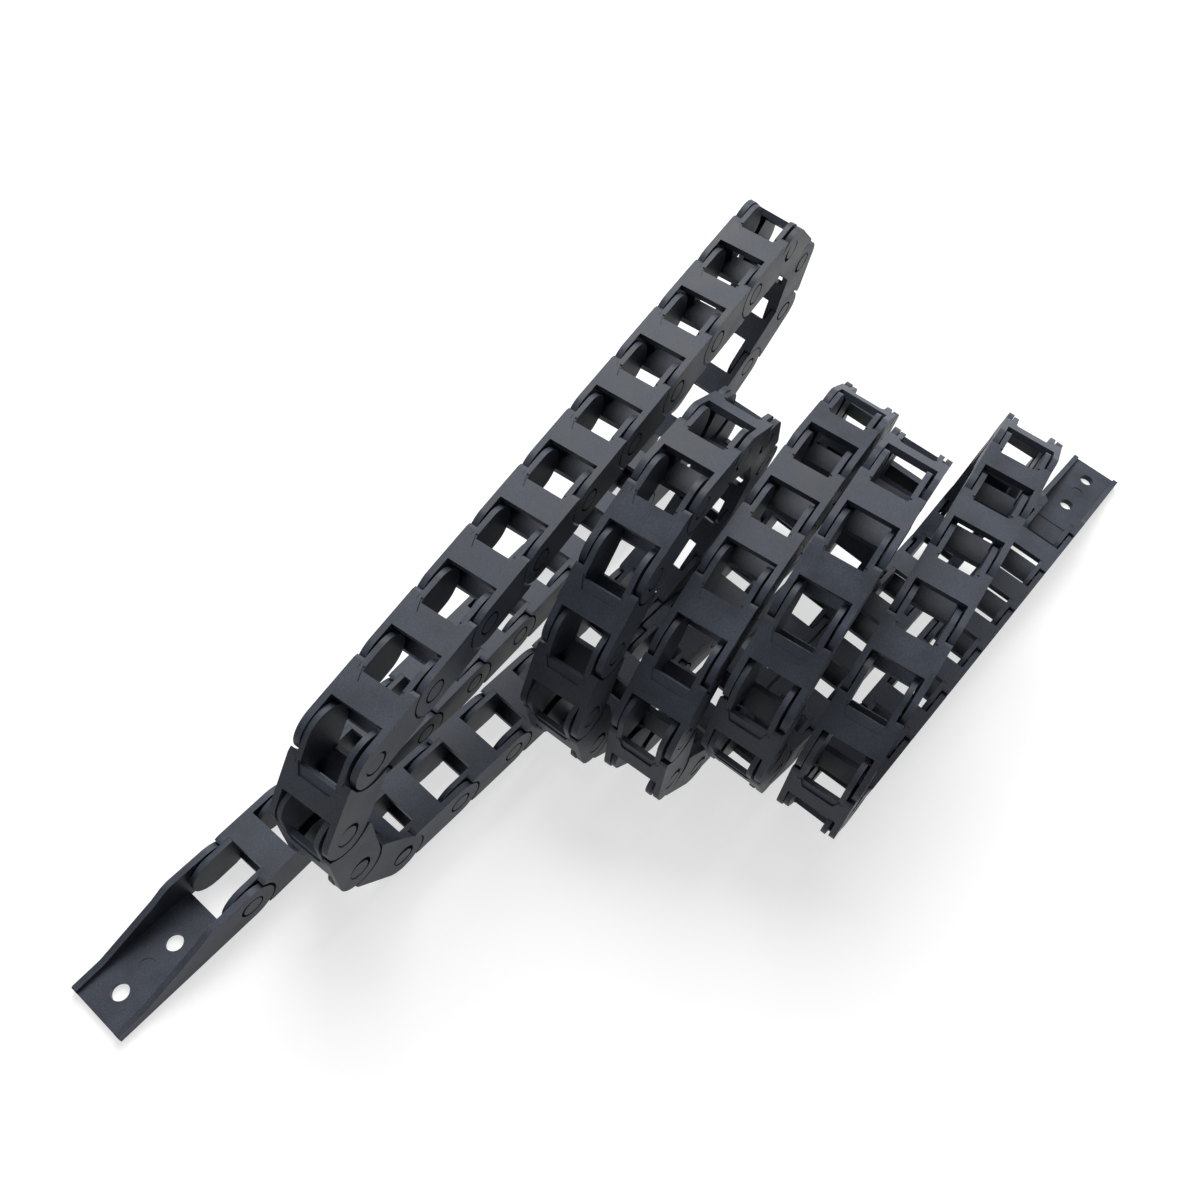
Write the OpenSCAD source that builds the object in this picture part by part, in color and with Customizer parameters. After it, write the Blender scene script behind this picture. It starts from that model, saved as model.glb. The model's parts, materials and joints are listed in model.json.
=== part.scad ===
// Cable drag chain, 10 x 10 mm, coiled up and standing on its floor runs.
// One link repeats along the whole course; a bracket closes each end.
// The origin is the middle of the female bracket's two screw holes, on its
// underside. +X runs along that bracket towards its pin, +Z is up.

/* [Link] */
// Distance between the two pins of a link
pitch = 20; // [18:0.5:24]
// Width over the outer plates
width = 17; // [16:0.5:20]
// Height of the plates
height = 13; // [12:0.5:14]
// Clear width between the inner plates, where the cables lie
bore_w = 9.9; // [8:0.1:10]
// Thickness of an inner plate
inner_t = 1.4; // [1.2:0.1:1.6]
// Thickness of an outer plate
outer_t = 1.65; // [1.4:0.05:1.8]
// Thickness of the two crossbars
bar_t = 1.8; // [1.2:0.1:2.2]
// Length of the crossbars along the link
bar_len = 7.8; // [6:0.2:9]
// Step moulded into the outer crossbar
step_depth = 0.25; // [0.1:0.05:0.5]

/* [Pins and stops] */
// Diameter of the pin bosses on the inner plates
pin_d = 5.3; // [4.6:0.1:5.6]
// Radial play of the pins, which lets neighbouring links skew
pin_play = 0.55; // [0.4:0.05:0.6]
// Largest bend between two links
bend_max = 52; // [45:1:55]
// Play of the stop lugs in their tracks
stop_play = 0.5; // [0.3:0.05:0.55]
// Depth of a stop track in the outer plate
track_depth = 0.95; // [0.8:0.05:1.0]

/* [Brackets] */
// Thickness of a bracket's floor plate
floor_t = 2; // [1.6:0.1:3]
// Diameter of the two screw holes
screw_d = 4.3; // [3.2:0.1:4.6]
// Distance between the two screw holes
screw_pitch = 15.2; // [12:0.2:18]
// Height of the bracket walls at the free end
lip_h = 3.2; // [2.6:0.2:5]
// From the female bracket's pin to its nearer screw hole
female_reach = 17.2; // [16:0.2:20]
// From the male bracket's pin to its nearer screw hole
male_reach = 25.5; // [24:0.5:30]
// From the farther screw hole to the free end
end_margin = 6.6; // [5:0.2:8]

/* [Coil] */
// Skew of every link to the coil's axis, which sets the rows apart
skew = 4; // [4:0.1:4.2]
// Links of the last floor run, up to the male bracket
tail_links = 6; // [4:1:8]

/* [Hidden] */

$fn = 96;
eps = 0.02;
nylon = "#2e3136";

half_h = height / 2;
outer_face = width / 2;
outer_in = outer_face - outer_t;
inner_in = bore_w / 2;
inner_face = inner_in + inner_t;
inner_r = half_h - 0.1;
shoulder_r = half_h + 0.55;
bar_x0 = 6.8;
bar_x1 = bar_x0 + bar_len;
hole_d = pin_d + 2 * pin_play;

// stop lug on the inner plate and its track in the outer plate
lug_r0 = 4.4;
lug_r1 = 5.4;
lug_angle = 90;
lug_half = 11;
play_angle = atan(stop_play / lug_r0);

// Where the shoulder's horns are cut off so that a bent link clears them
horn_r = 8.3;
horn_a0 = 57;
horn_a1 = 51;

// ---- course of the chain -------------------------------------------------
// A turn is [links on the floor, [bend at each pin up and over the coil]].
// The link after the last bend always lands back on the floor.
FLOOR = -1;
LAND = -2;
turns = [
    [9, [40, 0, 8, 45, 45, 49, 0, 0, 0, 0, 0, 0, 0, 0, 49, 36]],
    [5, [25, 28, 31, 33, 34, 26, 25, 26, 19, 36]],
    [4, [34, 38, 39, 34, 27, 13, 5, 16, 24, 38]],
    [3, [28, 33, 35, 31, 24, 37, 14, 20, 36, 35]],
    [4, [32, 41, 43, 35, 23, 8, 8, 10, 22, 45]],
];
moves = concat(
    [for (t = turns) each concat([for (k = [1:t[0]]) FLOOR], t[1], [LAND])],
    [for (k = [0:tail_links]) FLOOR]);

// The first floor run swings across, then the coil keeps one skew.
lay = 2.7;
function skew_at(n) = lookup(n, [[0, lay], [3, -0.6], [9, -0.6], [15, skew]]);

axle = [female_reach + screw_pitch / 2, 0, half_h];

// step from one pin to the next, for a link at heading a and skew s
function stride(a, s) = let (u = pitch * cos(s), v = -pitch * sin(s))
    [u * cos(a) * cos(lay) - v * sin(lay),
     u * cos(a) * sin(lay) + v * cos(lay),
     u * sin(a)];
function heading(move, a, z, s) =
    let (round_up = 360 * ceil(a / 360))
    move == FLOOR ? round_up :
    move == LAND ? round_up - asin((z - half_h) / (pitch * cos(s))) :
    a + move;
// [pin, heading, skew] of every link from number n on
function course(n, pin, a) = n > len(moves) ? [] :
    let (s = skew_at(n), h = heading(moves[n - 1], a, pin[2], s))
    concat([[pin, h, s]], course(n + 1, pin + stride(h, s), h));
links = course(1, axle, 0);

// put a child made round its rear pin at link number n
module at_link(n) {
    p = links[n - 1];
    translate(p[0]) rotate([0, 0, lay]) rotate([0, -p[1], 0])
        rotate([0, 0, -p[2]]) children();
}

// ---- shapes --------------------------------------------------------------
// a side-view outline (x, z) given thickness from y0 to y1
module slab(y0, y1) {
    translate([0, y1, 0]) rotate([90, 0, 0])
        linear_extrude(height = y1 - y0) children();
}

module both_sides() {
    children();
    mirror([0, 1, 0]) children();
}

// ring sector round a pin, from angle a0 to a1
module ring_sector(r0, r1, a0, a1) {
    far = 3 * r1;
    intersection() {
        difference() {
            circle(r = r1);
            circle(r = r0);
        }
        polygon(concat([[0, 0]],
            [for (k = [0:4]) let (a = a0 + (a1 - a0) * k / 4)
                far * [cos(a), sin(a)]]));
    }
}

// what the shoulder leaves free for the neighbour's rounded plate end, whose
// straight edges swing in by the largest bend
module shoulder_space() {
    circle(r = shoulder_r);
    a = 90 - bend_max;
    swing_r = shoulder_r - 0.03;
    for (s = [-1, 1]) {
        polygon([[0, 0],
                 shoulder_r * [cos(horn_a0), s * sin(horn_a0)],
                 horn_r * [cos(horn_a1), s * sin(horn_a1)],
                 [2, s * 2 * horn_r], [-2, s * 2 * horn_r]]);
        polygon([[0, 0],
                 swing_r * [cos(a), s * sin(a)],
                 swing_r * [cos(a) - sin(a), s * (sin(a) + cos(a))],
                 [-2, s * 2 * horn_r]]);
    }
}

module rounded_tongue(r, length) {
    circle(r = r);
    translate([min(0, length), -r]) square([abs(length), 2 * r]);
}

// track in which the neighbour's lug travels, on an outer plate's inner face
module stop_track() {
    slab(outer_in - eps, outer_in + track_depth)
        ring_sector(lug_r0 - stop_play, lug_r1 + stop_play,
                    lug_angle - lug_half - play_angle,
                    lug_angle + lug_half + bend_max + play_angle);
}

// inner plates with pin bosses and stop lugs, round the pin at the origin,
// with the shoulder block that joins them to the outer plates
module male_end(block_x) {
    both_sides() {
        slab(inner_in, inner_face) rounded_tongue(inner_r, bar_x0 + 1);
        slab(inner_face - eps, outer_face) circle(d = pin_d);
        slab(inner_face - eps, outer_in + track_depth - 0.4)
            ring_sector(lug_r0, lug_r1, lug_angle - lug_half,
                        lug_angle + lug_half);
        difference() {
            translate([0, 0, -half_h]) linear_extrude(height = height)
                polygon([[bar_x0, inner_in], [block_x - 1.9, inner_in],
                         [block_x, outer_in], [block_x, outer_face],
                         [2, outer_face], [2, inner_face - eps],
                         [bar_x0, inner_face - eps]]);
            slab(inner_face - 2 * eps, outer_face + 1) shoulder_space();
        }
    }
}

// crossbar on the outer side of the bend, with its moulded step
module outer_bar() {
    difference() {
        translate([bar_x0, -outer_in - eps, -half_h])
            cube([bar_len, 2 * (outer_in + eps), bar_t]);
        translate([0, 0, -half_h - 1]) linear_extrude(height = 1 + step_depth)
            polygon([[bar_x0 - 1, -5.6], [bar_x0 + 2.5, -4.3],
                     [bar_x0 + 2.5, 4.3], [bar_x0 - 1, 5.6]]);
    }
}

module inner_bar() {
    translate([bar_x0, -outer_in - eps, half_h - bar_t])
        cube([bar_len, 2 * (outer_in + eps), bar_t]);
}

module link() {
    male_end(11);
    outer_bar();
    inner_bar();
    both_sides() difference() {
        slab(outer_in, outer_face) difference() {
            translate([pitch, 0]) rounded_tongue(half_h, 10 - pitch);
            translate([pitch, 0]) circle(d = hole_d);
        }
        translate([pitch, 0, 0]) stop_track();
    }
}

// floor plate of a bracket from x0 to x1, its near screw hole at x = near
module bracket_floor(x0, x1, near, dir) {
    difference() {
        translate([x0, -outer_in - eps, -half_h])
            cube([x1 - x0, 2 * (outer_in + eps), floor_t]);
        for (k = [0, 1])
            translate([near + dir * k * screw_pitch, 0, -half_h - 1])
                cylinder(d = screw_d, h = floor_t + 2);
        translate([near + dir * screw_pitch / 2, 0, -half_h + floor_t - 0.2])
            cylinder(d = 4, h = 1);
    }
}

// side outline of a bracket wall: low at the free end, full at the pin,
// where it ends at x = stop
module wall_profile(tip, dir, stop) {
    run = abs(tip);
    polygon([for (p = [[run, -half_h], [run, lip_h - half_h - 0.5],
                       [run - 0.5, lip_h - half_h],
                       [run - 8, lip_h + 0.6 - half_h],
                       [15, half_h - 2.6], [12, half_h - 0.7], [10, half_h],
                       [stop, half_h], [stop, -half_h]])
             [dir * p[0], p[1]]]);
}

module bracket_female() color(nylon) translate(axle) {
    tip = -(female_reach + screw_pitch + end_margin);
    bracket_floor(tip, -13.5, -female_reach, -1);
    both_sides() difference() {
        slab(outer_in, outer_face) difference() {
            union() {
                wall_profile(tip, -1, 3);
                rounded_tongue(half_h, -4);
            }
            circle(d = hole_d);
        }
        stop_track();
    }
}

module bracket_male() color(nylon) at_link(len(links)) {
    tip = male_reach + screw_pitch + end_margin;
    male_end(12);
    outer_bar();
    bracket_floor(bar_x1 - eps, tip, male_reach, 1);
    both_sides() slab(outer_in, outer_face) wall_profile(tip, 1, 9);
}

// links number a to b, each a solid of its own
module links_run(a, b) color(nylon) for (n = [a:b]) at_link(n) link();

module link_01() links_run(1, 1);
module links_02_09() links_run(2, 9);
module links_10_12() links_run(10, 12);
module link_13() links_run(13, 13);
module link_14() links_run(14, 14);
module links_15_23() links_run(15, 23);
module link_24() links_run(24, 24);
module link_25() links_run(25, 25);
module link_26() links_run(26, 26);
module links_27_34() links_run(27, 34);
module links_35_40() links_run(35, 40);
module link_41() links_run(41, 41);
module link_42() links_run(42, 42);
module links_43_46() links_run(43, 46);
module link_47() links_run(47, 47);
module links_48_49() links_run(48, 49);
module links_50_54() links_run(50, 54);
module links_55_56() links_run(55, 56);
module link_57() links_run(57, 57);
module links_58_62() links_run(58, 62);
module links_63_70() links_run(63, 70);
module link_71() links_run(71, 71);
module links_72_76() links_run(72, 76);
module link_77() links_run(77, 77);
module links_78_84() links_run(78, 84);
module link_85() links_run(85, 85);
module link_86() links_run(86, 86);
module links_87_90() links_run(87, 90);
module link_91() links_run(91, 91);
module link_92() links_run(92, 92);

bracket_female();
link_01();
links_02_09();
links_10_12();
link_13();
link_14();
links_15_23();
link_24();
link_25();
link_26();
links_27_34();
links_35_40();
link_41();
link_42();
links_43_46();
link_47();
links_48_49();
links_50_54();
links_55_56();
link_57();
links_58_62();
links_63_70();
link_71();
links_72_76();
link_77();
links_78_84();
link_85();
link_86();
links_87_90();
link_91();
link_92();
bracket_male();
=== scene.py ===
"""Cable drag chain of black moulded nylon, coiled up on a white table.

The chain is one link repeated along a course that runs over the floor, winds
five times round itself and leaves along the floor again. The script lays out
that course, dresses one link and the two end brackets, and puts a copy of the
link at every place that the course gives.
"""

from __future__ import annotations

import json
import logging
import math
import random
from dataclasses import dataclass
from enum import Enum, IntEnum
from typing import Iterator

import bpy
from mathutils import Matrix, Vector

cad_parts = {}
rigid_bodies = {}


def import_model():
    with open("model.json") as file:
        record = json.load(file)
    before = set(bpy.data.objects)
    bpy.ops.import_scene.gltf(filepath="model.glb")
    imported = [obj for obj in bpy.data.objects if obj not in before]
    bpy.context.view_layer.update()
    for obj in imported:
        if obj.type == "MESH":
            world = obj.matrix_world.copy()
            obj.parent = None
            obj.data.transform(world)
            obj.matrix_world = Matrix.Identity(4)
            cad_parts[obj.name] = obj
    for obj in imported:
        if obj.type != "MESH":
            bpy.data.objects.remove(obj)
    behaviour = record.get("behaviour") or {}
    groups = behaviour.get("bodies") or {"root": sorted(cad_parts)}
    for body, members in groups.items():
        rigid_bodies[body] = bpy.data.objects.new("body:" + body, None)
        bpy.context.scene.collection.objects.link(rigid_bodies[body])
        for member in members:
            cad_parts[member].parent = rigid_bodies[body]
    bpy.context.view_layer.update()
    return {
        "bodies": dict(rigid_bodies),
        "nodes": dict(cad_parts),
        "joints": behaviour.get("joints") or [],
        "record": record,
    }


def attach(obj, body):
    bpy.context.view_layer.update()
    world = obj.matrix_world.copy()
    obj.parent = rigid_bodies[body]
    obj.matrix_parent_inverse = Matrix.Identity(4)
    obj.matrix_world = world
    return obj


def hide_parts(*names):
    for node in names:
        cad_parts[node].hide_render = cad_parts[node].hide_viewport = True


LOG = logging.getLogger("drag_chain")
MM = 0.001
WHITE = (1.0, 1.0, 1.0, 1.0)

Colour = tuple[float, float, float]
Outline = list[tuple[float, float]]


def rot_z(degrees: float) -> Matrix:
    """Turn about +Z."""
    return Matrix.Rotation(math.radians(degrees), 4, "Z")


def rot_up(degrees: float) -> Matrix:
    """Turn that lifts +X towards +Z."""
    return Matrix.Rotation(math.radians(-degrees), 4, "Y")


def lookup(x: float, table: tuple[tuple[float, float], ...]) -> float:
    """Value at x on the straight lines through the table's points."""
    if x <= table[0][0]:
        return table[0][1]
    for (x0, y0), (x1, y1) in zip(table, table[1:]):
        if x <= x1:
            return y0 + (y1 - y0) * (x - x0) / (x1 - x0)
    return table[-1][1]


@dataclass(frozen=True)
class Turn:
    """Links on the floor, then the bend at each pin up and over the coil."""

    floor_links: int
    bends: tuple[float, ...]


@dataclass(frozen=True)
class ChainSizes:
    """Sizes of the whole chain, in millimetres and degrees.

    The skews pair a link's number with its sideways turn, which carries each
    loop of the coil past the one before.
    """

    pitch: float = 20.0
    half_height: float = 6.5
    first_pin: float = 24.8
    lay: float = 2.7
    tail_links: int = 6
    skews: tuple[tuple[float, float], ...] = (
        (0, 2.7),
        (3, -0.6),
        (9, -0.6),
        (15, 4.0),
    )
    turns: tuple[Turn, ...] = (
        Turn(9, (40, 0, 8, 45, 45, 49, 0, 0, 0, 0, 0, 0, 0, 0, 49, 36)),
        Turn(5, (25, 28, 31, 33, 34, 26, 25, 26, 19, 36)),
        Turn(4, (34, 38, 39, 34, 27, 13, 5, 16, 24, 38)),
        Turn(3, (28, 33, 35, 31, 24, 37, 14, 20, 36, 35)),
        Turn(4, (32, 41, 43, 35, 23, 8, 8, 10, 22, 45)),
    )


@dataclass(frozen=True)
class LinkPlace:
    """Where one link lies: its number in the chain and its frame."""

    number: int
    frame: Matrix


@dataclass
class Height:
    """Height of the pin reached so far, and the skew of the next link."""

    z: float
    skew: float


class Course:
    """The chain's course: the frame of every link from the first pin on."""

    def __init__(self, sizes: ChainSizes) -> None:
        self.sizes = sizes
        self.places: list[LinkPlace] = list(self._walk())

    def _headings(self, height: Height) -> Iterator[float]:
        """Heading of each link in the coil's plane, in degrees.

        Args:
            height: kept up to date by the caller, and read where a loop lands.

        Yields:
            One heading for each link; a whole coil adds 360.
        """
        heading = 0.0
        for turn in self.sizes.turns:
            for _ in range(turn.floor_links):
                yield heading
            start = heading
            for bend in turn.bends:
                heading += bend
                yield heading
            heading = start + 360.0
            yield heading - self._landing(height)
        for _ in range(self.sizes.tail_links + 1):
            yield heading

    def _landing(self, height: Height) -> float:
        """How far the link that comes back to the floor still points down."""
        drop = height.z - self.sizes.half_height
        reach = self.sizes.pitch * math.cos(math.radians(height.skew))
        return math.degrees(math.asin(drop / reach))

    def _walk(self) -> Iterator[LinkPlace]:
        """Step from pin to pin."""
        s = self.sizes
        pin = Vector((s.first_pin, 0.0, s.half_height))
        height = Height(pin.z, lookup(1, s.skews))
        for number, heading in enumerate(self._headings(height), start=1):
            turn = rot_z(s.lay) @ rot_up(heading) @ rot_z(-height.skew)
            yield LinkPlace(number, Matrix.Translation(pin * MM) @ turn)
            pin = pin + turn @ Vector((s.pitch, 0.0, 0.0))
            height.z = pin.z
            height.skew = lookup(number + 1, s.skews)


def linear(code: str) -> Colour:
    """Linear colour of an sRGB hex value such as #2a2d32."""
    parts = [int(code[k : k + 2], 16) / 255 for k in (1, 3, 5)]
    return tuple(
        c / 12.92 if c <= 0.04045 else ((c + 0.055) / 1.055) ** 2.4 for c in parts
    )


@dataclass(frozen=True)
class Finish:
    """Darkest and lightest colour of a surface, and its roughness range."""

    dark: str
    light: str
    smooth: float
    dull: float


class FaceOrHighlightedEdge(Enum):
    """Faces as they left the mould, and edges painted lighter as a painted highlight.
    """

    FACE = Finish("#282d37", "#3f4551", 0.42, 0.54)
    # EDGE is lighter than FACE: a painted highlight on the rounded edges.
    EDGE = Finish("#444a55", "#646a76", 0.36, 0.46)


class MaterialSlot(IntEnum):
    """Material slots of every visible mesh."""

    FACE = 0
    # Slot of the rounded edges, whose lighter colour is a painted highlight.
    EDGE = 1


class NylonMaterial:
    """Glass-filled black nylon, moulded in a spark-eroded mould.

    That gives the eye a dark, slightly blue grey with a dull sheen, a grain
    of about 0.2 mm, and corners painted a little lighter as a painted highlight.
    """

    CLOUDS_PER_MM = 0.11
    CLOUD_DETAIL = 4.0
    CLOUD_SPAN = (0.32, 0.68)
    ROUGH_SPAN = (0.3, 0.7)
    SPECKS_PER_MM = 2.6
    SPECK_DETAIL = 2.0
    SPECK_SPAN = (0.40, 0.66)
    SPECK_TONES = (0.82, 1.22)
    GRAINS_PER_MM = 4.2
    GRAIN_DETAIL = 3.0
    GRAIN_DEPTH = 0.04 * MM
    GRAIN_STRENGTH = 0.5
    IOR = 1.53
    SPECULAR = 0.22
    MIX_A, MIX_B, MIX_RESULT = 6, 7, 2

    def __init__(self, name: str, tone: float, face_or_edge: FaceOrHighlightedEdge, shift: float) -> None:
        """Build the material.

        Args:
            name: the material's name.
            tone: lighter above 1, darker below, for the spread between pieces.
            face_or_edge: whether it is for faces or for the edges painted lighter as a
                painted highlight.
            shift: offset of the patterns in metres, so that pieces differ.
        """
        self.material = bpy.data.materials.new(name)
        self.material.use_nodes = True
        self.tree = self.material.node_tree
        self.shader = self.tree.nodes["Principled BSDF"]
        coords = self._node("ShaderNodeTexCoord")
        self.place = self._node("ShaderNodeMapping", Location=(shift, shift, 0.0))
        self.tree.links.new(coords.outputs["Object"], self.place.inputs["Vector"])
        cloud = self._noise(self.CLOUDS_PER_MM, self.CLOUD_DETAIL)
        self._colour(cloud, tone, face_or_edge.value)
        self._roughness(cloud, face_or_edge.value)
        self._grain()
        self.shader.inputs["IOR"].default_value = self.IOR
        self.shader.inputs["Specular IOR Level"].default_value = self.SPECULAR

    def _node(self, kind: str, **values: object) -> bpy.types.Node:
        """Add a node and set its named inputs or attributes."""
        node = self.tree.nodes.new(kind)
        for key, value in values.items():
            if key in node.inputs:
                node.inputs[key].default_value = value
            else:
                setattr(node, key, value)
        return node

    def _noise(self, per_mm: float, detail: float) -> bpy.types.Node:
        """Noise that stays fixed to the piece, from its features per mm."""
        node = self._node("ShaderNodeTexNoise", Scale=per_mm / MM, Detail=detail)
        self.tree.links.new(self.place.outputs["Vector"], node.inputs["Vector"])
        return node

    def _ramp(
        self,
        noise: bpy.types.Node,
        span: tuple[float, float],
        low: Colour,
        high: Colour,
    ) -> bpy.types.NodeSocket:
        """Turn a noise into a run from one colour to another.

        Args:
            noise: the noise node.
            span: the noise values where the run starts and ends.
            low: colour at the start.
            high: colour at the end.

        Returns:
            The socket that gives the colour.
        """
        ramp = self._node("ShaderNodeValToRGB")
        for element, place, colour in zip(
            ramp.color_ramp.elements, span, (low, high)
        ):
            element.position = place
            element.color = (*colour, 1.0)
        self.tree.links.new(noise.outputs["Fac"], ramp.inputs["Fac"])
        return ramp.outputs["Color"]

    def _colour(self, cloud: bpy.types.Node, tone: float, finish: Finish) -> None:
        """Clouded body colour with fine glass specks over it."""
        dark, light = (
            tuple(part * tone for part in linear(code))
            for code in (finish.dark, finish.light)
        )
        body = self._ramp(cloud, self.CLOUD_SPAN, dark, light)
        speck = self._noise(self.SPECKS_PER_MM, self.SPECK_DETAIL)
        dim, bright = self.SPECK_TONES
        specks = self._ramp(speck, self.SPECK_SPAN, (dim,) * 3, (bright,) * 3)
        mix = self._node("ShaderNodeMix", data_type="RGBA", blend_type="MULTIPLY")
        mix.inputs["Factor"].default_value = 1.0
        links = self.tree.links
        links.new(body, mix.inputs[self.MIX_A])
        links.new(specks, mix.inputs[self.MIX_B])
        links.new(mix.outputs[self.MIX_RESULT], self.shader.inputs["Base Color"])

    def _roughness(self, cloud: bpy.types.Node, finish: Finish) -> None:
        """Roughness that follows the same clouds as the colour."""
        rough = self._ramp(
            cloud, self.ROUGH_SPAN, (finish.smooth,) * 3, (finish.dull,) * 3
        )
        self.tree.links.new(rough, self.shader.inputs["Roughness"])

    def _grain(self) -> None:
        """Shallow grain left by the spark-eroded mould."""
        grain = self._noise(self.GRAINS_PER_MM, self.GRAIN_DETAIL)
        bump = self._node(
            "ShaderNodeBump", Strength=self.GRAIN_STRENGTH, Distance=self.GRAIN_DEPTH
        )
        self.tree.links.new(grain.outputs["Fac"], bump.inputs["Height"])
        self.tree.links.new(bump.outputs["Normal"], self.shader.inputs["Normal"])


@dataclass(frozen=True)
class LinkSizes:
    """Sizes of a link and of the brackets, in millimetres and degrees.

    X runs along the link from its rear pin, Y across it and Z up its height.
    Levels across the link are measured from its middle, and each stands for
    both sides.
    """

    pitch: float = 20.0
    half_h: float = 6.5
    bend_max: float = 52.0

    # Plates, from the outside in.
    outer_face: float = 8.5
    outer_in: float = 6.85
    inner_face: float = 6.35
    inner_in: float = 4.95
    inner_r: float = 6.4
    tongue_end: float = 7.8

    # Shoulder behind the neighbour's round end. The horn's sloping side runs
    # through two points, each an angle and a radius round the pin.
    shoulder_r: float = 7.05
    shoulder_back: float = 1.0
    horn_foot: tuple[float, float] = (57.0, 7.05)
    horn_top: tuple[float, float] = (51.0, 8.3)
    horn_play: float = 0.03
    block_end: float = 11.0
    block_slope: float = 1.9

    # Pin, stop lug (inner radius, outer radius, half angle) and their recesses.
    pin_r: float = 2.65
    hole_r: float = 3.2
    hole_cut: tuple[float, float] = (6.5, 9.0)
    lug: tuple[float, float, float] = (4.4, 5.4, 11.0)
    lug_y: float = 7.4
    stop_play: float = 0.5
    track_y: float = 7.8
    track_lap: float = 0.2

    # Crossbars, and the step in the outer one.
    bar_x0: float = 6.8
    bar_x1: float = 14.6
    bar_t: float = 1.8
    step: float = 0.40
    step_length: float = 2.5
    step_wide: float = 5.6
    step_narrow: float = 4.3

    # Brackets. The wall line pairs a distance from the pin with a drop below
    # the full height.
    floor_t: float = 2.0
    floor_gap: float = 7.1
    screw_r: float = 2.15
    screw_pitch: float = 15.2
    end_margin: float = 6.6
    female_reach: float = 17.2
    male_reach: float = 25.5
    male_shoulder: float = 9.0
    male_block_end: float = 12.0
    mark_r: float = 2.0
    mark_depth: float = 0.2
    lip_h: float = 3.2
    lip_length: float = 8.0
    lip_rise: float = 0.6
    lip_corner: float = 0.5
    wall_line: tuple[tuple[float, float], ...] = (
        (15.0, 2.6),
        (12.0, 0.7),
        (10.0, 0.0),
    )

    # How far forms run into one another, and cutters past what they cut.
    lap: float = 0.02
    weld: float = 0.05
    root: float = 0.1
    beyond: float = 1.0


def arc(
    centre: tuple[float, float], radius: float, start: float, end: float, steps: int
) -> Outline:
    """Points along an arc.

    Args:
        centre: the arc's centre.
        radius: its radius.
        start: angle of the first point, in degrees.
        end: angle of the last point.
        steps: number of chords.

    Returns:
        The points, both ends included.
    """
    angles = (
        math.radians(start + (end - start) * k / steps) for k in range(steps + 1)
    )
    return [
        (centre[0] + radius * math.cos(a), centre[1] + radius * math.sin(a))
        for a in angles
    ]


def circle(centre: tuple[float, float], radius: float, steps: int) -> Outline:
    """Points round a full circle."""
    return arc(centre, radius, 0.0, 360.0, steps)[:-1]


def polar(degrees: float, radius: float) -> Vector:
    """Point at an angle and a radius."""
    angle = math.radians(degrees)
    return Vector((math.cos(angle), math.sin(angle))) * radius


def pick(obj: bpy.types.Object) -> None:
    """Make the object the only selected one, and the active one."""
    bpy.ops.object.select_all(action="DESELECT")
    obj.select_set(True)
    bpy.context.view_layer.objects.active = obj


class View(Enum):
    """The view in which an outline is drawn: plan (XY) or side (XZ)."""

    PLAN = "plan"
    SIDE = "side"


class Join(Enum):
    """What a form does to the moulding; the value is the boolean's name."""

    ADD = "UNION"
    CUT = "DIFFERENCE"


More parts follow.
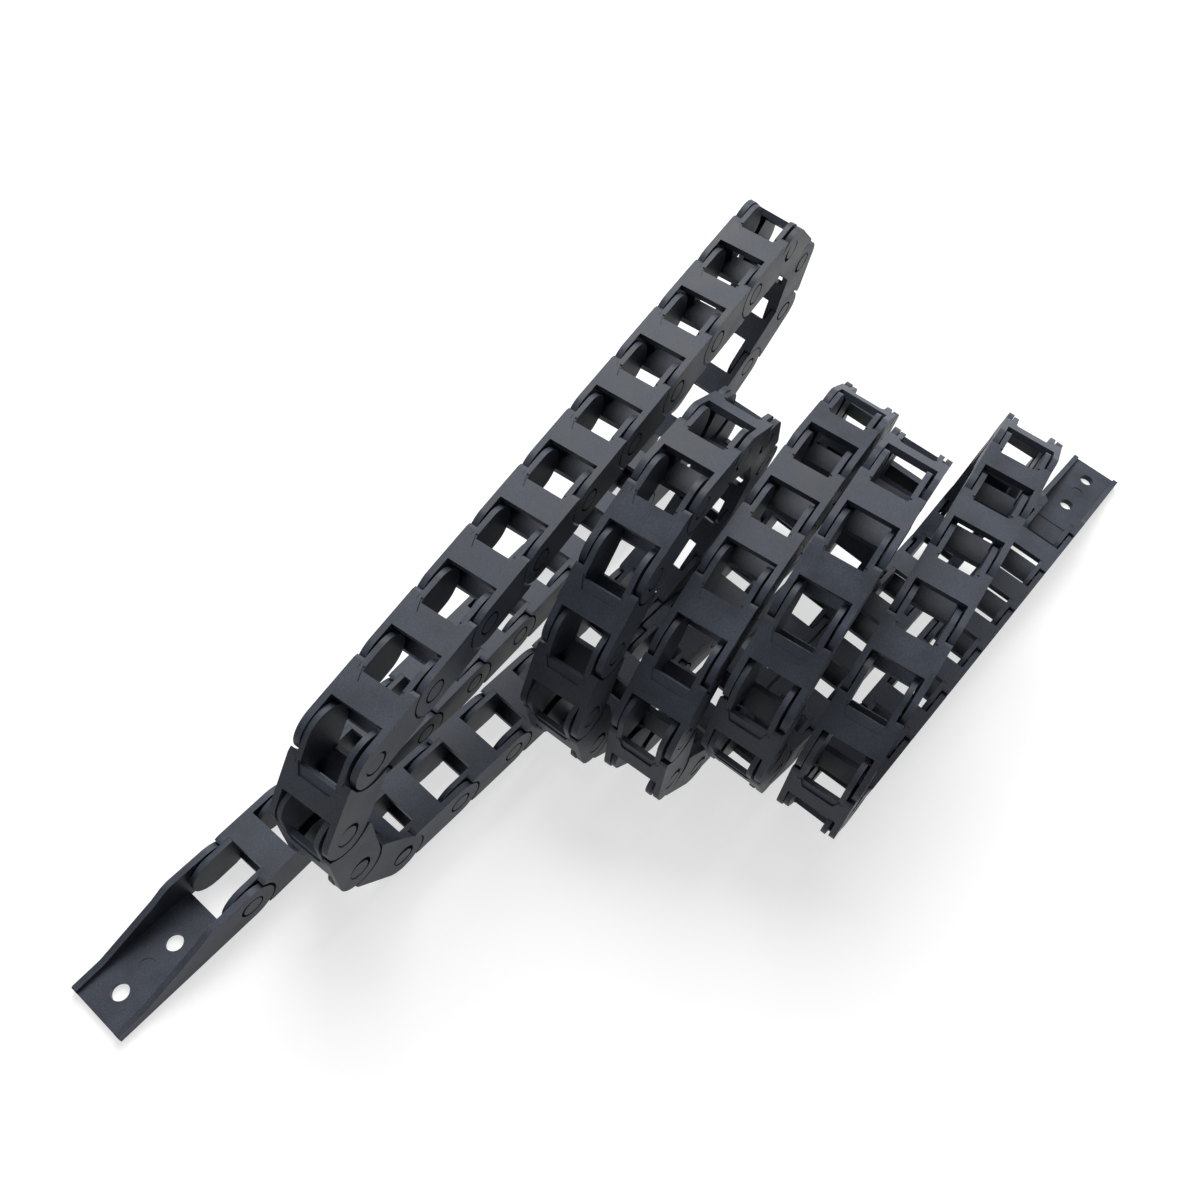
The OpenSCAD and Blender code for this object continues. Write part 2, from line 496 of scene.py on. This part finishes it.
class Carving:
    """A moulding joined from solid forms and carved by others."""

    EDGE = 0.20 * MM
    EDGE_SEGMENTS = 2
    MERGE = 0.004 * MM
    FLAT = math.radians(0.4)
    SHARP = math.radians(30.0)

    def __init__(self, name: str) -> None:
        self.name = name
        self.forms: dict[Join, list[bpy.types.Object]] = {join: [] for join in Join}

    def _prism(
        self, outline: Outline, low: float, high: float, view: View
    ) -> bpy.types.Object:
        """Disc shaped to an outline and extruded to a solid.

        Args:
            outline: corners in millimetres.
            low: where the solid starts, in millimetres.
            high: where it ends.
            view: the view that the outline is drawn in.

        Returns:
            The solid.
        """

        def point(pair: tuple[float, float], level: float) -> Vector:
            """Corner at a level, in metres."""
            if view is View.PLAN:
                return Vector((pair[0], pair[1], level)) * MM
            return Vector((pair[0], level, pair[1])) * MM

        bpy.ops.object.select_all(action="DESELECT")
        bpy.ops.mesh.primitive_circle_add(vertices=len(outline), fill_type="NGON")
        solid = bpy.context.object
        solid.name = self.name + "_form"
        for corner, pair in zip(solid.data.vertices, outline):
            corner.co = point(pair, low)
        rise = point((0.0, 0.0), high - low)
        bpy.ops.object.mode_set(mode="EDIT")
        bpy.ops.mesh.select_all(action="SELECT")
        bpy.ops.mesh.extrude_region_move(TRANSFORM_OT_translate={"value": tuple(rise)})
        bpy.ops.mesh.select_all(action="SELECT")
        bpy.ops.mesh.normals_make_consistent(inside=False)
        bpy.ops.object.mode_set(mode="OBJECT")
        return solid

    def side(
        self, outline: Outline, low: float, high: float, join: Join = Join.ADD
    ) -> None:
        """Side-view solid from y = low to high, and its mirror image."""
        self.forms[join].append(self._prism(outline, low, high, View.SIDE))
        self.forms[join].append(self._prism(outline, -high, -low, View.SIDE))

    def plan(
        self, outline: Outline, low: float, high: float, join: Join = Join.ADD
    ) -> None:
        """Plan-view solid from z = low to high."""
        self.forms[join].append(self._prism(outline, low, high, View.PLAN))

    def both_plans(self, outline: Outline, low: float, high: float) -> None:
        """Plan-view solid and its mirror image across the middle."""
        self.plan(outline, low, high)
        self.plan([(x, -y) for x, y in outline], low, high)

    def _combine(
        self, base: bpy.types.Object, tools: list[bpy.types.Object], join: Join
    ) -> None:
        """Join the tools to the base, or cut them out of it.

        Args:
            base: the solid that is kept.
            tools: the solids that are used up.
            join: what the tools do to the base.
        """
        group = bpy.data.collections.new(self.name + "_tools")
        bpy.context.scene.collection.children.link(group)
        for tool in tools:
            group.objects.link(tool)
        boolean = base.modifiers.new("combine", "BOOLEAN")
        boolean.operand_type = "COLLECTION"
        boolean.collection = group
        boolean.operation = join.value
        boolean.solver = "EXACT"
        pick(base)
        bpy.ops.object.modifier_apply(modifier=boolean.name)
        for tool in tools:
            bpy.data.objects.remove(tool)
        bpy.data.collections.remove(group)

    def _clean(self) -> None:
        """Merge close corners and flat faces of the active solid."""
        bpy.ops.object.mode_set(mode="EDIT")
        bpy.ops.mesh.select_all(action="SELECT")
        bpy.ops.mesh.remove_doubles(threshold=self.MERGE)
        bpy.ops.mesh.dissolve_limited(angle_limit=self.FLAT)
        bpy.ops.mesh.normals_make_consistent(inside=False)
        bpy.ops.object.mode_set(mode="OBJECT")
        bpy.ops.object.shade_smooth()

    def _round_edges(self, base: bpy.types.Object) -> None:
        """Round the sharp edges of the active solid, and shade it flat."""
        base.data.materials.clear()
        for _ in MaterialSlot:
            base.data.materials.append(None)
        bevel = base.modifiers.new("edges", "BEVEL")
        bevel.width = self.EDGE
        bevel.segments = self.EDGE_SEGMENTS
        bevel.limit_method = "ANGLE"
        bevel.angle_limit = self.SHARP
        # The rounded edges get the edge slot, coloured lighter as a painted highlight.
        bevel.material = MaterialSlot.EDGE
        flat = base.modifiers.new("flat", "WEIGHTED_NORMAL")
        flat.keep_sharp = False
        for modifier in (bevel.name, flat.name):
            bpy.ops.object.modifier_apply(modifier=modifier)

    def finish(self) -> bpy.types.Mesh:
        """Join, carve, merge flat faces and round the edges.

        Returns:
            The mesh, whose rounded edges have their own material slot.
        """
        base, *others = self.forms[Join.ADD]
        self._combine(base, others, Join.ADD)
        if self.forms[Join.CUT]:
            self._combine(base, self.forms[Join.CUT], Join.CUT)
        pick(base)
        self._clean()
        self._round_edges(base)
        mesh = base.data
        mesh.name = self.name
        bpy.data.objects.remove(base)
        return mesh


class LinkShape:
    """Shapes of a link and of the two brackets, round the rear pin."""

    END_CHORDS = 40
    PIN_CHORDS = 44
    HOLE_CHORDS = 48
    MARK_CHORDS = 36
    SHOULDER_CHORDS = 10
    SECTOR_CHORD = 5.0
    SECTOR_CHORDS_MIN = 6

    def __init__(self, sizes: LinkSizes) -> None:
        self.s = sizes

    def _shoulder(self, end_x: float) -> Outline:
        """Side outline that starts at the shoulder and runs to x = end_x."""
        s = self.s
        tip, heel = self._horn()
        swing = 90.0 - s.bend_max
        curve = arc((0, 0), s.shoulder_r, swing, 0.0, self.SHOULDER_CHORDS)
        upper = [heel, tip, *curve]
        lower = [(x, -z) for x, z in reversed(upper[:-1])]
        return [(end_x, s.half_h), *upper, *lower, (end_x, -s.half_h)]

    def _horn(self) -> tuple[tuple[float, float], tuple[float, float]]:
        """Tip and heel of the horn between the swing cut and the chamfer."""
        s = self.s
        normal = polar(90.0 - s.bend_max, 1.0)
        reach = s.shoulder_r - s.horn_play
        foot = polar(*s.horn_foot)
        run = polar(*s.horn_top) - foot
        tip = foot + run * ((reach - normal.dot(foot)) / normal.dot(run))
        heel = foot + run * ((s.half_h - foot.y) / run.y)
        return (tip.x, tip.y), (heel.x, heel.y)

    def _ring_sector(
        self, centre_x: float, radii: tuple[float, float], angles: tuple[float, float]
    ) -> Outline:
        """Outline of a ring sector round a pin.

        Args:
            centre_x: where the pin is.
            radii: inner and outer radius.
            angles: first and last angle, in degrees.

        Returns:
            The corners, out along the outer arc and back along the inner one.
        """
        chords = int((angles[1] - angles[0]) / self.SECTOR_CHORD)
        steps = max(self.SECTOR_CHORDS_MIN, chords)
        outer = arc((centre_x, 0), radii[1], angles[0], angles[1], steps)
        inner = arc((centre_x, 0), radii[0], angles[1], angles[0], steps)
        return outer + inner

    def _male_end(self, carving: Carving, block_end: float) -> None:
        """Inner plates, pins, stop lugs and the shoulder block.

        Args:
            carving: the moulding that takes them.
            block_end: where the block meets the outer plates.
        """
        s = self.s
        tongue = [
            (s.tongue_end, s.inner_r),
            *arc((0, 0), s.inner_r, 90.0, 270.0, self.END_CHORDS),
            (s.tongue_end, -s.inner_r),
        ]
        carving.side(tongue, s.inner_in, s.inner_face)
        pin = circle((0, 0), s.pin_r, self.PIN_CHORDS)
        carving.side(pin, s.inner_face - s.root, s.outer_face)
        r0, r1, half = s.lug
        lug = self._ring_sector(0.0, (r0, r1), (90.0 - half, 90.0 + half))
        carving.side(lug, s.inner_face - s.root, s.lug_y)
        shoulder = self._shoulder(block_end - s.shoulder_back)
        carving.side(shoulder, s.inner_face - s.lap, s.outer_in + s.weld)
        block = [
            (s.bar_x0, s.inner_in),
            (block_end - s.block_slope, s.inner_in),
            (block_end, s.outer_in + s.lap),
            (s.bar_x0, s.outer_in + s.lap),
        ]
        carving.both_plans(block, -s.half_h, s.half_h)

    def _across(self, x0: float, x1: float) -> Outline:
        """Plan outline from x0 to x1 that reaches into both outer plates."""
        y = self.s.outer_in + self.s.weld
        return [(x0, -y), (x1, -y), (x1, y), (x0, y)]

    def _outer_bar(self, carving: Carving) -> None:
        """Crossbar on the outer side of the bend, with its moulded step."""
        s = self.s
        bar = self._across(s.bar_x0, s.bar_x1)
        carving.plan(bar, -s.half_h, -s.half_h + s.bar_t)
        x0, x1 = s.bar_x0 - s.beyond, s.bar_x0 + s.step_length
        step = [
            (x0, -s.step_wide),
            (x1, -s.step_narrow),
            (x1, s.step_narrow),
            (x0, s.step_wide),
        ]
        carving.plan(step, -s.half_h - s.beyond, -s.half_h + s.step, Join.CUT)

    def _inner_bar(self, carving: Carving) -> None:
        """Plain crossbar on the inner side of the bend."""
        s = self.s
        bar = self._across(s.bar_x0, s.bar_x1)
        carving.plan(bar, s.half_h - s.bar_t, s.half_h)

    def _track(self, carving: Carving, pin_x: float) -> None:
        """Pin hole and stop track in the outer plates round a pin."""
        s = self.s
        hole = circle((pin_x, 0), s.hole_r, self.HOLE_CHORDS)
        carving.side(hole, *s.hole_cut, Join.CUT)
        r0, r1, half = s.lug
        play = math.degrees(math.atan(s.stop_play / r0))
        track = self._ring_sector(
            pin_x,
            (r0 - s.stop_play, r1 + s.stop_play),
            (90.0 - half - play, 90.0 + half + s.bend_max + play),
        )
        carving.side(track, s.outer_in - s.track_lap, s.track_y, Join.CUT)

    def link(self) -> bpy.types.Mesh:
        """One chain link."""
        s = self.s
        carving = Carving("link")
        rear = self._shoulder(s.pitch)
        front = arc((s.pitch, 0), s.half_h, -90.0, 90.0, self.END_CHORDS)[1:-1]
        carving.side([*rear, *front], s.outer_in, s.outer_face)
        self._male_end(carving, s.block_end)
        self._outer_bar(carving)
        self._inner_bar(carving)
        self._track(carving, s.pitch)
        return carving.finish()

    def _wall(self, tip: float) -> Outline:
        """Side outline of a bracket wall from its low free end at x = tip."""
        s = self.s
        h, run, way = s.half_h, abs(tip), math.copysign(1.0, tip)
        lip = [
            (run, -h),
            (run, s.lip_h - h - s.lip_corner),
            (run - s.lip_corner, s.lip_h - h),
            (run - s.lip_length, s.lip_h + s.lip_rise - h),
        ]
        slope = [(x, h - drop) for x, drop in s.wall_line]
        return [(way * x, z) for x, z in (*lip, *slope)]

    def _floor(self, carving: Carving, x0: float, x1: float, near: float) -> None:
        """Floor plate of a bracket with its screw holes and ejector mark.

        Args:
            carving: the moulding that takes it.
            x0: one end of the plate.
            x1: its other end.
            near: the screw hole nearer to the pin.
        """
        s = self.s
        top = -s.half_h + s.floor_t
        carving.plan(self._across(x0, x1), -s.half_h, top)
        spacing = math.copysign(s.screw_pitch, near)
        for x in (near, near + spacing):
            hole = circle((x, 0), s.screw_r, self.HOLE_CHORDS)
            carving.plan(hole, -s.half_h - s.beyond, top + s.beyond, Join.CUT)
        mark = circle((near + spacing / 2, 0), s.mark_r, self.MARK_CHORDS)
        carving.plan(mark, top - s.mark_depth, top + s.beyond, Join.CUT)

    def female_bracket(self) -> bpy.types.Mesh:
        """Bracket whose walls take the first link's pins."""
        s = self.s
        carving = Carving("bracket_female_form")
        tip = -(s.female_reach + s.screw_pitch + s.end_margin)
        front = arc((0, 0), s.half_h, 90.0, -90.0, self.END_CHORDS)
        carving.side([*self._wall(tip), *front], s.outer_in, s.outer_face)
        self._floor(carving, tip, -s.floor_gap, -s.female_reach)
        self._track(carving, 0.0)
        return carving.finish()

    def male_bracket(self) -> bpy.types.Mesh:
        """Bracket that carries the last pair of pins."""
        s = self.s
        carving = Carving("bracket_male_form")
        tip = s.male_reach + s.screw_pitch + s.end_margin
        rear = self._shoulder(s.male_shoulder)[1:-1]
        carving.side([*self._wall(tip), *rear], s.outer_in, s.outer_face)
        self._male_end(carving, s.male_block_end)
        self._outer_bar(carving)
        self._floor(carving, s.bar_x1 - s.root, tip, s.male_reach)
        return carving.finish()


class Chain:
    """All visible pieces of the chain, on the bodies that carry them."""

    TONES = (0.93, 1.0, 1.07)
    PATTERN_SHIFT = 0.37
    SEED = 5

    def __init__(self, frame: dict, course: Course) -> None:
        self.frame = frame
        self.course = course
        self.random = random.Random(self.SEED)
        self.materials = [
            self._pair(k, tone, self.PATTERN_SHIFT * k)
            for k, tone in enumerate(self.TONES)
        ]

    @staticmethod
    def _pair(
        number: int, tone: float, shift: float
    ) -> dict[MaterialSlot, bpy.types.Material]:
        """Face and edge material of one tone, by the slot that each takes."""
        face = NylonMaterial(f"nylon_{number}", tone, FaceOrHighlightedEdge.FACE, shift)
        # The edge material is the lighter one, a painted highlight on the rounded
        # edges.
        edge = NylonMaterial(f"nylon_edge_painted_highlight_{number}", tone, FaceOrHighlightedEdge.EDGE, shift)
        return {MaterialSlot.FACE: face.material, MaterialSlot.EDGE: edge.material}

    def _nodes_by_link(self) -> dict[int, str]:
        """Frame node that holds each link, from the nodes' names."""
        held = {}
        for name in self.frame["nodes"]:
            parts = name.split("_")
            if parts[0] == "link":
                held[int(parts[1])] = name
            elif parts[0] == "links":
                for number in range(int(parts[1]), int(parts[2]) + 1):
                    held[number] = name
        return held

    def _place(
        self, name: str, form: bpy.types.Mesh, frame: Matrix, node: str
    ) -> bpy.types.Object:
        """Put one visible piece in place of its node's solid.

        Args:
            name: the piece's name.
            form: the mesh that it is a copy of, round its rear pin.
            frame: where the rear pin is, and how the piece is turned.
            node: the node, and the body that carries it.

        Returns:
            The piece, with its place in its own mesh.
        """
        mesh = form.copy()
        mesh.name = name
        mesh.transform(frame)
        pair = self.materials[self.random.randrange(len(self.materials))]
        for slot, material in pair.items():
            mesh.materials[slot] = material
        piece = bpy.data.objects.new(name, mesh)
        bpy.context.scene.collection.objects.link(piece)
        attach(piece, node)
        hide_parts(node)
        return piece

    def build(self) -> None:
        """Make every link and both brackets."""
        places = self.course.places
        shapes = LinkShape(LinkSizes())
        link = shapes.link()
        held = self._nodes_by_link()
        for place in places[:-1]:
            node = held[place.number]
            self._place(f"chain_link_{place.number:02d}", link, place.frame, node)
        first = Matrix.Translation(places[0].frame.translation)
        self._place("end_female", shapes.female_bracket(), first, "bracket_female")
        last = places[-1].frame
        self._place("end_male", shapes.male_bracket(), last, "bracket_male")
        LOG.info("%d links, %d faces each", len(held), len(link.polygons))


@dataclass(frozen=True)
class SoftLight:
    """A square studio light aimed at the chain, in metres and watts."""

    name: str
    place: tuple[float, float, float]
    size: float
    power: float


class Studio:
    """White table, soft lights and the camera."""

    AIM = Vector((0.150, -0.040, 0.030))
    LIGHTS = (
        SoftLight("key", (0.95, 0.64, 1.47), 1.20, 35.0),
        SoftLight("side", (-0.85, 0.74, 1.57), 1.20, 4.0),
        SoftLight("fill", (0.45, -1.36, 1.37), 1.60, 1.0),
    )
    SKY_SEEN = 1.0
    SKY_LIGHT = 0.04
    TABLE_WIDTH = 6.0
    TABLE_GREY = (0.45, 0.45, 0.45, 1.0)
    TABLE_ROUGHNESS = 0.6
    TABLE_LIFT = 0.66
    SENSOR_MM = 36.0
    LENS_MM = 32.56
    CLIP = (0.01, 20.0)
    EYE = Vector((-1.56, -99.31, 273.17)) * MM
    TARGET = Vector((154.12, -10.34, 0.0)) * MM
    ROLL = math.radians(12.25)

    def table(self) -> None:
        """Plain white table that fades into the white background."""
        bpy.ops.mesh.primitive_plane_add(size=self.TABLE_WIDTH, location=(0, 0, 0))
        floor = bpy.context.object
        floor.name = "table"
        material = bpy.data.materials.new("white_table")
        material.use_nodes = True
        shader = material.node_tree.nodes["Principled BSDF"]
        shader.inputs["Base Color"].default_value = self.TABLE_GREY
        shader.inputs["Roughness"].default_value = self.TABLE_ROUGHNESS
        shader.inputs["Emission Color"].default_value = WHITE
        level = shader.inputs["Emission Strength"]
        self._seen(material.node_tree, self.TABLE_LIFT, 0.0, level)
        floor.data.materials.append(material)

    @staticmethod
    def _seen(
        tree: bpy.types.NodeTree, seen: float, lit: float, level: bpy.types.NodeSocket
    ) -> None:
        """Give a strength one value where it is seen and one where it lights.

        Args:
            tree: the nodes of the table or of the surround.
            seen: strength for camera, mirror and glass rays; 1 is white.
            lit: strength for the light that falls on the chain.
            level: the socket that takes the strength.
        """
        path = tree.nodes.new("ShaderNodeLightPath")
        last = path.outputs["Is Camera Ray"]
        for ray in ("Is Glossy Ray", "Is Transmission Ray"):
            either = tree.nodes.new("ShaderNodeMath")
            either.operation = "MAXIMUM"
            tree.links.new(last, either.inputs[0])
            tree.links.new(path.outputs[ray], either.inputs[1])
            last = either.outputs[0]
        choose = tree.nodes.new("ShaderNodeMapRange")
        choose.inputs["To Min"].default_value = lit
        choose.inputs["To Max"].default_value = seen
        tree.links.new(last, choose.inputs["Value"])
        tree.links.new(choose.outputs["Result"], level)

    def lights(self) -> None:
        """Broad soft lights and a white surround."""
        for light in self.LIGHTS:
            data = bpy.data.lights.new(light.name, "AREA")
            data.size = light.size
            data.energy = light.power
            lamp = bpy.data.objects.new(light.name, data)
            lamp.location = light.place
            aim = self.AIM - Vector(light.place)
            lamp.rotation_euler = aim.to_track_quat("-Z", "Y").to_euler()
            bpy.context.scene.collection.objects.link(lamp)
        world = bpy.data.worlds.new("surround")
        bpy.context.scene.world = world
        world.use_nodes = True
        sky = world.node_tree.nodes["Background"]
        sky.inputs["Color"].default_value = WHITE
        strength = sky.inputs["Strength"]
        self._seen(world.node_tree, self.SKY_SEEN, self.SKY_LIGHT, strength)
        bpy.context.scene.view_settings.view_transform = "Standard"

    def camera(self) -> None:
        """Camera above the near bracket, looking down along the coil."""
        data = bpy.data.cameras.new("camera")
        data.sensor_width = self.SENSOR_MM
        data.lens = self.LENS_MM
        data.clip_start, data.clip_end = self.CLIP
        camera = bpy.data.objects.new("camera", data)
        bpy.context.scene.collection.objects.link(camera)
        roll = Matrix.Rotation(self.ROLL, 3, "Z")
        level = (self.TARGET - self.EYE).to_track_quat("-Z", "Y").to_matrix()
        turn = (level @ roll).to_4x4()
        camera.matrix_world = Matrix.Translation(self.EYE) @ turn
        bpy.context.scene.camera = camera


def main() -> None:
    """Build the whole scene."""
    logging.basicConfig(level=logging.INFO)
    for old in list(bpy.data.objects):
        bpy.data.objects.remove(old)
    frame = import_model()
    Chain(frame, Course(ChainSizes())).build()
    studio = Studio()
    studio.table()
    studio.lights()
    studio.camera()
    bpy.context.view_layer.update()


if __name__ == "__main__":
    main()
